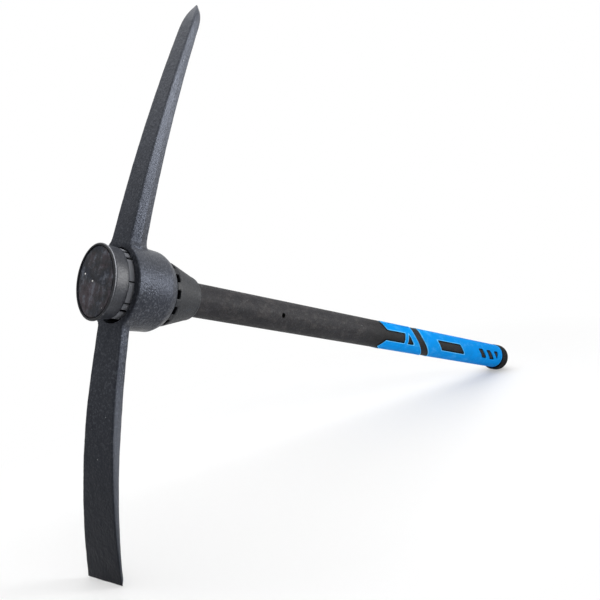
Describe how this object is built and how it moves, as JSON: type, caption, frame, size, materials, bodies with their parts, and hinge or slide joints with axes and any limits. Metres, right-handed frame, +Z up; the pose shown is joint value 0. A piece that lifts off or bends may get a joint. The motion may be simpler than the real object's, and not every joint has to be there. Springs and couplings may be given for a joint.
{
  "type": "pickaxe",
  "caption": "Pick mattock with a curved point and a broad chisel blade on an oval-eyed head, a flared plug, a conical collar and a straight clad handle with an inlaid rubber grip.",
  "frame": {"origin": "middle of the bounding box on the ground that the tool stands on", "axes": "+Y runs from the head towards the butt of the handle, +Z is up with the pick's point at the top, +X is across the head"},
  "size_m": [0.068, 0.8964, 0.5503],
  "materials": {
    "painted_steel": "dark grey sandy paint on forged steel",
    "plug_plastic": "fine grained, slightly glossy",
    "jacket_plastic": "fine grained matte",
    "grip_rubber": "satin azure rubber",
    "glass_fibre": "resin bonded glass fibre"
  },
  "bodies": {
    "root": {"pick_head": "painted_steel", "swell_plug": "plug_plastic", "end_disc": "plug_plastic", "locking_collar": "jacket_plastic", "shaft_jacket": "jacket_plastic", "butt_cap": "jacket_plastic", "front_grip": "grip_rubber", "rear_grip": "grip_rubber", "fibreglass_core": "glass_fibre"}
  },
  "joints": []
}
